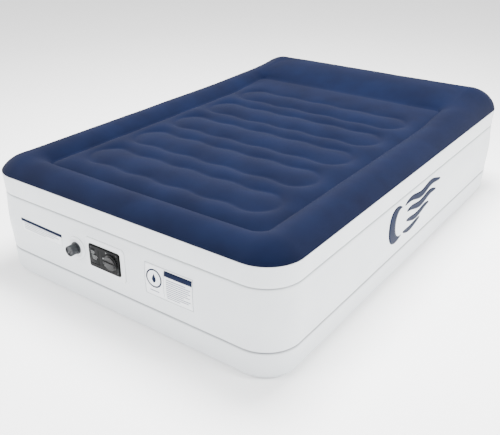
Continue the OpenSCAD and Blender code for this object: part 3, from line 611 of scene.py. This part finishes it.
# ------------------------------------------------------------------ moulded parts with softened edges
def softened(node, name, width, slot, segments=2, material=None):
    """A copy of a moulded CAD part with rounded edges, which stands for it."""
    source = frame["nodes"][node]
    same_point, flat_angle, sharp_angle = 2e-6, math.radians(1), math.radians(35)
    mesh = bmesh.new()
    mesh.from_mesh(source.data)
    bmesh.ops.remove_doubles(mesh, verts=mesh.verts, dist=same_point)
    bmesh.ops.dissolve_limit(mesh, angle_limit=flat_angle, verts=mesh.verts, edges=mesh.edges)
    data = bpy.data.meshes.new(name)
    mesh.to_mesh(data)
    mesh.free()
    piece = bpy.data.objects.new(name, data)
    bpy.context.scene.collection.objects.link(piece)
    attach(piece, body_of(source)[0])
    bevel = piece.modifiers.new("edges", "BEVEL")
    bevel.width = width
    bevel.segments = segments
    bevel.limit_method = "ANGLE"
    bevel.angle_limit = sharp_angle
    bevel.use_clamp_overlap = True
    bevel.harden_normals = True
    data.polygons.foreach_set("use_smooth", [True] * len(data.polygons))
    apply_modifiers(piece)
    return finish_piece(piece, slot, node, material=material)


def build_moulded_parts():
    softened("pump_tub", "pump_casing", 0.0006, "black_plastic", material="black_rim")
    softened("faceplate", "pump_faceplate", 0.0004, "black_plastic")
    softened("cord_lid", "cord_cover", 0.0003, "black_plastic")
    softened("dial_knob", "pump_dial", 0.0009, "black_plastic", 3, material="black_dial")
    softened("valve_neck", "valve_body", 0.0006, "valve_plastic")
    softened("valve_cap", "screw_cap", 0.0004, "valve_plastic")


# ------------------------------------------------------------------ printed films
ACROSS = (-1, -0.5, 0, 0.5, 1)              # places across a mark, from one edge to the other


def strip(rows):
    """A film patch from rows of (u, v) points."""
    return np.array(rows, float)


def bar(u0, u1, v0, v1, step=0.008):
    """A level bar, in cells no longer than step so that it can follow a curved wall."""
    n = max(2, int(math.ceil(abs(u1 - u0) / step)) + 1)
    m = max(2, int(math.ceil(abs(v1 - v0) / step)) + 1)
    return strip([[(u, v) for u in np.linspace(u0, u1, n)] for v in np.linspace(v0, v1, m)])


def ring_strip(cu, cv, r0, r1, steps):
    """A ring between two radii, or with three steps a triangle."""
    angles = np.linspace(0, 2 * math.pi, steps + 1)
    return strip([[(cu + r * math.cos(a), cv + r * math.sin(a)) for a in angles]
                  for r in (r1, (r0 + r1) / 2, r0)])


def drop_strip(cu, cv):
    """A drop hanging from its point."""
    half, point, tall = 0.013125, 0.019, 0.036
    return strip([[(cu + side * half * math.sin(math.pi * t) * (0.25 + 0.75 * t), cv + point - tall * t)
                   for t in np.linspace(0.02, 0.98, 25)] for side in ACROSS])


def wave_strip(u0, u1, v, phase):
    """A flowing band that swells in its middle and narrows to both ends."""
    thick, height, wave_l, steps = 0.029, 0.007, 0.21, 60
    rows = []
    for side in ACROSS:
        row = []
        for t in np.linspace(0, 1, steps + 1):
            u = u0 + (u1 - u0) * t
            half = thick / 2 * (0.12 + 0.88 * math.sin(math.pi * t) ** 0.6)
            centre = v + height * math.sin(2 * math.pi * (u - u0) / wave_l + phase)
            row.append((u, centre + side * half))
        rows.append(row)
    return strip(rows)


def crescent(cu, cv, r, bite, shift, steps=48):
    """A moon: the outer arc, and an inner arc of a smaller circle moved to one side."""
    reach = math.acos((r * r + shift * shift - bite * bite) / (2 * r * shift))
    a = np.linspace(reach, 2 * math.pi - reach, steps + 1)
    outer = np.column_stack([cu + r * np.cos(a), cv + r * np.sin(a)])
    inner_reach = math.atan2(r * math.sin(reach), r * math.cos(reach) - shift)
    b = np.linspace(inner_reach, 2 * math.pi - inner_reach, steps + 1)
    inner = np.column_stack([cu + shift + bite * np.cos(b), cv + bite * np.sin(b)])
    rows = []
    for t in (0, 0.25, 0.5, 0.75, 1):
        row = outer + (inner - outer) * t
        rows.append(row[1:-1])
    return strip(rows)


def film(name, strips, place, body="airbed", thickness=0.0004):
    """One mesh from several patches, each laid on a surface by place(u, v)."""
    points, faces, start = [], [], 0
    for patch in strips:
        rows, columns = patch.shape[:2]
        flat = patch.reshape(-1, 2)
        laid = place(flat[:, 0], flat[:, 1])
        normal = np.cross(laid[1] - laid[0], laid[columns] - laid[0])
        outward = place(flat[:1, 0], flat[:1, 1], 0.001)[0] - laid[0]
        flip = np.dot(normal, outward) < 0
        points.append(laid)
        faces += [tuple(i + start for i in (f[::-1] if flip else f)) for f in grid_faces(rows, columns)]
        start += len(flat)
    return thicken(new_piece(name, np.concatenate(points), faces, body), thickness)


def on_wall(side, height):
    """A way to lay a film on a side wall: u along the wall in the part's frame, v up."""
    def place(u, v, lift=0.0):
        run = {RIGHT: u - SHIFT_Y + AXIS_Y, FOOT: u + AXIS_X}[side]
        samples = np.array([side_sample(side, r) for r in run])
        return wall_xyz(samples, v, "middle", height + lift)
    return place


def on_panel(front, cx, cz):
    """A way to lay a film on a flat front of the pump: u and v from a middle, in metres."""
    def place(u, v, lift=0.0):
        return np.column_stack([cx + u, np.full(len(u), front - lift), cz + v])
    return place


def foot_film(name, strips, lift, material=None, *nodes):
    """A label's film or a print on it, on the foot wall."""
    return finish_piece(film(name, strips, on_wall(FOOT, lift)), "printed_film", *nodes, material=material)


def build_strip_label():
    """A long patch under a bar, with plain lines below it."""
    low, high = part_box("strip_label")
    x0, x1, top = low.x, high.x, high.z
    bar_tall, bar_ahead = 0.012, 0.006
    inset, longest, first_line, line_pitch, line_tall = 0.012, 0.205, 0.0155, 0.0075, 0.0025
    foot_film("strip_patch", [bar(x0, x1, low.z, top)], FILM_LIFT, "label_white", "strip_label")
    foot_film("strip_bar", [bar(x0 - bar_ahead, x1, top - bar_tall, top)], PRINT_LIFT)
    lines = []
    for k, share in enumerate((0.95, 1.0, 0.86, 0.62)):
        v = top - first_line - line_pitch * k
        lines.append(bar(x0 + inset, x0 + inset + longest * share, v - line_tall, v))
    foot_film("strip_lines", lines, PRINT_LIFT, "label_grey")


def build_care_label():
    """A framed patch: a drop in a ring on the left of its fold, and a bar over plain lines on the right."""
    low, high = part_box("care_label")
    x0, x1, z0, z1 = low.x, high.x, low.z, high.z
    fold = x0 + 0.40 * (x1 - x0)
    edge, margin = 0.0009, 0.012
    first_line, line_pitch, line_tall = 0.036, 0.0078, 0.003
    foot_film("care_patch", [bar(x0, x1, z0, z1)], FILM_LIFT, "label_white", "care_label")
    lines = [bar(x0, x1, z0, z0 + edge), bar(x0, x1, z1 - edge, z1),
             bar(x0, x0 + edge, z0 + edge, z1 - edge), bar(x1 - edge, x1, z0 + edge, z1 - edge),
             bar(fold, fold + edge, z0 + margin, z1 - margin)]
    for k, share in enumerate((0.80, 1.0, 0.94, 1.0, 0.88, 0.97, 0.72, 1.0, 0.91, 0.55)):
        left, top = fold + margin, z1 - first_line - line_pitch * k
        lines.append(bar(left, left + (x1 - fold - 0.022) * share, top - line_tall, top))
    lines.append(bar(x0 + 0.022, fold - 0.022, z0 + 0.020, z0 + 0.0235))
    foot_film("care_lines", lines, PRINT_LIFT, "label_grey")
    cx, cz, r, ring_width = (x0 + fold) / 2, z0 + 0.58 * (z1 - z0), 0.035, 0.0055
    marks = [ring_strip(cx, cz, r - ring_width, r, 72), drop_strip(cx, cz),
             bar(fold + 0.003, x1 - 0.004, z1 - 0.027, z1 - 0.006)]
    foot_film("care_marks", marks, MARK_LIFT)


def build_emblem():
    """A generic mark on the long side: a moon with bands of air flowing from it."""
    low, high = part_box("side_emblem")
    u0, v0 = low.y, low.z
    span, tall = high.y - u0, high.z - v0
    r = tall * 0.46
    marks = [crescent(u0 + r + 0.004, v0 + tall * 0.5, r, r * 0.76, r * 0.52)]
    # both ends and the height of each band, as parts of the mark
    bands = ((0.30, 1.0, 0.84), (0.33, 0.90, 0.62), (0.32, 0.76, 0.38), (0.28, 0.60, 0.15))
    for k, (left, right, up) in enumerate(bands):
        marks.append(wave_strip(u0 + span * left, u0 + span * right, v0 + tall * up, 0.9 * k))
    mark = film("side_mark", marks, on_wall(RIGHT, FILM_LIFT), thickness=0.0005)
    finish_piece(mark, "printed_film", "side_emblem")


def build_panel_print():
    """Plain bars on the cord lid, and three marks beside the dial."""
    lid_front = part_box("cord_lid")[0].y
    half = 0.0008
    # left end, right end and height of each bar, from the pump's middle
    rows = ((-0.062, -0.046, 0.0205), (-0.062, -0.043, 0.0160), (-0.062, -0.048, 0.0115),
            (-0.060, -0.034, 0.0040), (-0.058, -0.031, -0.0005), (-0.058, -0.036, -0.0050),
            (-0.054, -0.038, -0.0095))
    bars = [bar(left, right, v - half, v + half) for left, right, v in rows]
    finish_piece(film("lid_print", bars, on_panel(lid_front - PANEL_LIFT, PUMP_X, PUMP_Z), "lid"),
                 "printed_film", material="print_grey")
    plate_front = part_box("faceplate")[0].y
    dial_lo, dial_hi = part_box("dial_knob")
    cx, cz = (dial_lo.x + dial_hi.x) / 2, (dial_lo.z + dial_hi.z) / 2
    from_dial = 0.0385
    marks = []
    for angle, size, sides in ((124, 0.0042, 3), (172, 0.0032, 24), (213, 0.0042, 3)):
        a = math.radians(angle)
        marks.append(ring_strip(from_dial * math.cos(a), from_dial * math.sin(a), size * 0.02, size, sides))
    finish_piece(film("dial_marks", marks, on_panel(plate_front - PANEL_LIFT, cx, cz)),
                 "printed_film", material="print_grey")


# ------------------------------------------------------------------ material helpers
EVEN = (1, 1, 1)


def new_material(name, dark, light, roughness, scale, detail=4.0, stretch=EVEN, **sockets):
    """A material whose colour wanders between two shades. Other sockets of the shader are given by name."""
    material = bpy.data.materials.new(name)
    material.use_nodes = True
    shader = material.node_tree.nodes["Principled BSDF"]
    shader.inputs["Base Color"].default_value = (*light, 1)
    shader.inputs["Roughness"].default_value = roughness
    for key, value in sockets.items():
        shader.inputs[key.replace("_", " ")].default_value = value
    mottle(material, dark, light, scale, detail, stretch)
    return material


def noise_node(material, scale, detail, stretch=EVEN):
    nodes, links = material.node_tree.nodes, material.node_tree.links
    place = nodes.new("ShaderNodeTexCoord")
    mapping = nodes.new("ShaderNodeMapping")
    mapping.inputs["Scale"].default_value = stretch
    noise = nodes.new("ShaderNodeTexNoise")
    noise.inputs["Scale"].default_value = scale
    noise.inputs["Detail"].default_value = detail
    links.new(place.outputs["Object"], mapping.inputs["Vector"])
    links.new(mapping.outputs["Vector"], noise.inputs["Vector"])
    return noise


def mottle(material, dark, light, scale, detail, stretch):
    """Colour that wanders between two shades."""
    nodes, links = material.node_tree.nodes, material.node_tree.links
    noise = noise_node(material, scale, detail, stretch)
    ramp = nodes.new("ShaderNodeValToRGB")
    ramp.color_ramp.elements[0].position = 0.3
    ramp.color_ramp.elements[1].position = 0.7
    ramp.color_ramp.elements[0].color = (*dark, 1)
    ramp.color_ramp.elements[1].color = (*light, 1)
    links.new(noise.outputs["Fac"], ramp.inputs["Fac"])
    links.new(ramp.outputs["Color"], nodes["Principled BSDF"].inputs["Base Color"])


def bump(material, layers):
    """Bump from several noises: scale, strength, distance, detail, stretch."""
    nodes, links = material.node_tree.nodes, material.node_tree.links
    previous = None
    for scale, strength, distance, detail, stretch in layers:
        node = nodes.new("ShaderNodeBump")
        node.inputs["Strength"].default_value = strength
        node.inputs["Distance"].default_value = distance
        links.new(noise_node(material, scale, detail, stretch).outputs["Fac"], node.inputs["Height"])
        if previous:
            links.new(previous.outputs["Normal"], node.inputs["Normal"])
        previous = node
    links.new(previous.outputs["Normal"], nodes["Principled BSDF"].inputs["Normal"])


def flock():
    m = new_material("navy_flock", (0.0014, 0.0031, 0.0128), (0.0022, 0.0048, 0.0184), 0.92, 7.0, 6.0,
                     Sheen_Weight=0.03, Sheen_Roughness=0.6, Sheen_Tint=(0.85, 0.85, 1.0, 1),
                     Specular_IOR_Level=0.02)
    bump(m, [(900, 0.35, 0.0006, 2.0, EVEN), (60, 0.10, 0.002, 3.0, EVEN)])
    return m


def soft_vinyl(name, dark, light, roughness):
    m = new_material(name, dark, light, roughness, 5.0, Specular_IOR_Level=0.4)
    bump(m, [(420, 0.06, 0.0006, 3.0, EVEN), (16, 0.08, 0.004, 2.0, EVEN)])
    return m


def wall_pvc():
    m = soft_vinyl("white_pvc", (0.66, 0.69, 0.715), (0.70, 0.73, 0.75), 0.42)
    # painted shade along the creases of the upper and lower seams
    painted_seam_shade(m, SEAM_UPPER, 0.0045, 0.75)
    painted_seam_shade(m, SEAM_LOWER, 0.0065, 0.95)
    return m


def base_pvc():
    m = new_material("base_pvc", (0.08, 0.10, 0.16), (0.12, 0.14, 0.20), 0.6, 9.0)
    bump(m, [(500, 0.3, 0.001, 2.0, EVEN)])
    return m


def moulded(name, dark, light, roughness, shine=0.3):
    m = new_material(name, dark, light, roughness, 60.0, Specular_IOR_Level=shine)
    bump(m, [(2600, 0.25, 0.0003, 2.0, EVEN)])
    return m


def painted_seam_shade(material, height, half, amount):
    """Painted shade: a darker line in the base colour round the walls, along the crease of a weld at one
    height.
    """
    nodes, links = material.node_tree.nodes, material.node_tree.links
    shade = nodes["Principled BSDF"].inputs["Base Color"]
    split = nodes.new("ShaderNodeSeparateXYZ")
    links.new(nodes.new("ShaderNodeTexCoord").outputs["Object"], split.inputs["Vector"])
    away = nodes.new("ShaderNodeMath")
    away.operation = "SUBTRACT"
    away.inputs[1].default_value = height
    links.new(split.outputs["Z"], away.inputs[0])
    size = nodes.new("ShaderNodeMath")
    size.operation = "ABSOLUTE"
    links.new(away.outputs[0], size.inputs[0])
    fade = nodes.new("ShaderNodeMapRange")
    fade.inputs["From Max"].default_value = half
    fade.inputs["To Min"].default_value = amount
    fade.inputs["To Max"].default_value = 0
    links.new(size.outputs[0], fade.inputs["Value"])
    mix = nodes.new("ShaderNodeMixRGB")
    # colour of the painted seam shade
    mix.inputs["Color2"].default_value = (0.20, 0.21, 0.23, 1)
    links.new(fade.outputs["Result"], mix.inputs["Fac"])
    links.new(shade.links[0].from_socket, mix.inputs["Color1"])
    links.new(mix.outputs["Color"], shade)


def metal(name, dark, light, roughness, stretch):
    m = new_material(name, dark, light, roughness, 90.0, 3.0, stretch, Metallic=1.0)
    bump(m, [(900, 0.12, 0.0002, 2.0, stretch)])
    return m


def make_materials():
    """Materials by name: the record's slots, and a few more for pieces that differ from their slot's own."""
    return {
        "flocked_pvc": flock(),
        "white_pvc": wall_pvc(),
        "white_weld": soft_vinyl("white_weld", (0.69, 0.715, 0.74), (0.73, 0.75, 0.77), 0.36),
        "base_pvc": base_pvc(),
        "inner_pvc": moulded("inner_pvc", (0.60, 0.63, 0.66), (0.68, 0.70, 0.73), 0.5),
        "printed_film": moulded("navy_print", (0.0035, 0.0065, 0.022), (0.0050, 0.0095, 0.032), 0.5, 0.04),
        "label_white": moulded("label_white", (0.76, 0.78, 0.81), (0.80, 0.82, 0.84), 0.38),
        "label_grey": moulded("label_grey", (0.16, 0.18, 0.24), (0.20, 0.22, 0.28), 0.5),
        "print_grey": moulded("print_grey", (0.189, 0.194, 0.198), (0.234, 0.239, 0.243), 0.5),
        "black_plastic": moulded("charcoal_plastic", (0.0050, 0.0052, 0.0055), (0.0085, 0.0088, 0.0095),
                                 0.5, 0.07),
        "black_rim": moulded("black_rim", (0.0020, 0.0020, 0.0022), (0.0035, 0.0035, 0.0040), 0.5, 0.06),
        "black_dial": moulded("black_dial", (0.0075, 0.0077, 0.0082), (0.0120, 0.0123, 0.0130), 0.38, 0.22),
        "grey_plastic": moulded("grey_plastic", (0.30, 0.31, 0.32), (0.38, 0.39, 0.40), 0.5),
        "black_rubber": moulded("black_rubber", (0.010, 0.010, 0.010), (0.018, 0.018, 0.019), 0.8),
        "steel": metal("bright_steel", (0.50, 0.51, 0.53), (0.66, 0.67, 0.69), 0.3, (1, 1, 8)),
        "black_steel": metal("black_steel", (0.03, 0.03, 0.03), (0.06, 0.06, 0.065), 0.45, EVEN),
        "magnet_ferrite": moulded("ferrite", (0.05, 0.05, 0.055), (0.09, 0.09, 0.10), 0.7),
        "bronze": metal("bronze", (0.40, 0.24, 0.10), (0.58, 0.38, 0.17), 0.4, EVEN),
        "wire_red": moulded("red_insulation", (0.35, 0.02, 0.02), (0.45, 0.03, 0.03), 0.5),
        "valve_plastic": moulded("slate_plastic", (0.020, 0.022, 0.025), (0.030, 0.033, 0.037), 0.40, 0.22),
    }


# ------------------------------------------------------------------ floor, light and camera
def build_stage():
    """A wide floor that glows a little, so that it stays pale."""
    reach = 30
    corners = [(-reach, -reach, 0), (reach, -reach, 0), (reach, reach, 0), (-reach, reach, 0)]
    floor = new_piece("floor", corners, [(0, 1, 2, 3)], body=None, smooth=False)
    m = new_material("pale_floor", (0.93, 0.93, 0.935), (0.95, 0.95, 0.95), 0.9, 1.0, Specular_IOR_Level=0.1,
                     Emission_Color=(1, 1, 1, 1), Emission_Strength=0.25)
    floor.data.materials.append(m)


def area_light(name, place, target, size, power):
    """A white rectangular light that faces its target."""
    data = bpy.data.lights.new(name, "AREA")
    data.shape = "RECTANGLE"
    data.size, data.size_y = size
    data.energy = power
    lamp = bpy.data.objects.new(name, data)
    lamp.location = place
    lamp.rotation_euler = (Vector(target) - Vector(place)).to_track_quat("-Z", "Y").to_euler()
    bpy.context.scene.collection.objects.link(lamp)


def build_light():
    world = bpy.data.worlds.new("studio")
    bpy.context.scene.world = world
    world.use_nodes = True
    background = world.node_tree.nodes["Background"]
    background.inputs["Color"].default_value = (1, 1, 1, 1)
    background.inputs["Strength"].default_value = 1.3
    area_light("key", (0.1, 0.3, 3.4), (0, 0, 0.3), (1.7, 1.7), 520)
    area_light("foot_fill", (-1.2, -3.6, 2.9), (0, -1.0, 0.3), (1.4, 1.0), 120)
    area_light("side_fill", (3.6, -0.4, 2.9), (0.7, 0, 0.3), (1.4, 1.0), 170)


def build_camera():
    """The viewpoint, given by azimuth, elevation and distance about a target on the bed."""
    azimuth, elevation, distance = math.radians(35.738), math.radians(26.739), 2.6786
    target = Vector((0.183, -0.4602 + SHIFT_Y, 0.25))
    back = Vector((math.sin(azimuth) * math.cos(elevation), -math.cos(azimuth) * math.cos(elevation),
                   math.sin(elevation)))
    data = bpy.data.cameras.new("camera")
    data.sensor_width = 36
    data.lens = 48.643
    camera = bpy.data.objects.new("camera", data)
    camera.location = target + back * distance
    camera.rotation_euler = (-back).to_track_quat("-Z", "Y").to_euler()
    bpy.context.scene.collection.objects.link(camera)
    bpy.context.scene.camera = camera


# ------------------------------------------------------------------ the scene
materials = make_materials()
for entry in frame["record"]["subparts"]:
    carried = frame["nodes"][entry["node"]]
    carried.data.materials.clear()
    carried.data.materials.append(materials[entry["material_slot"]])

top, height_at = build_top()
finish_piece(top, "flocked_pvc", "top_sheet")
build_pod_ties(height_at)
build_walls()
build_bottom()
build_flanges()
build_moulded_parts()
build_strip_label()
build_care_label()
build_emblem()
build_panel_print()
build_stage()
build_light()
build_camera()
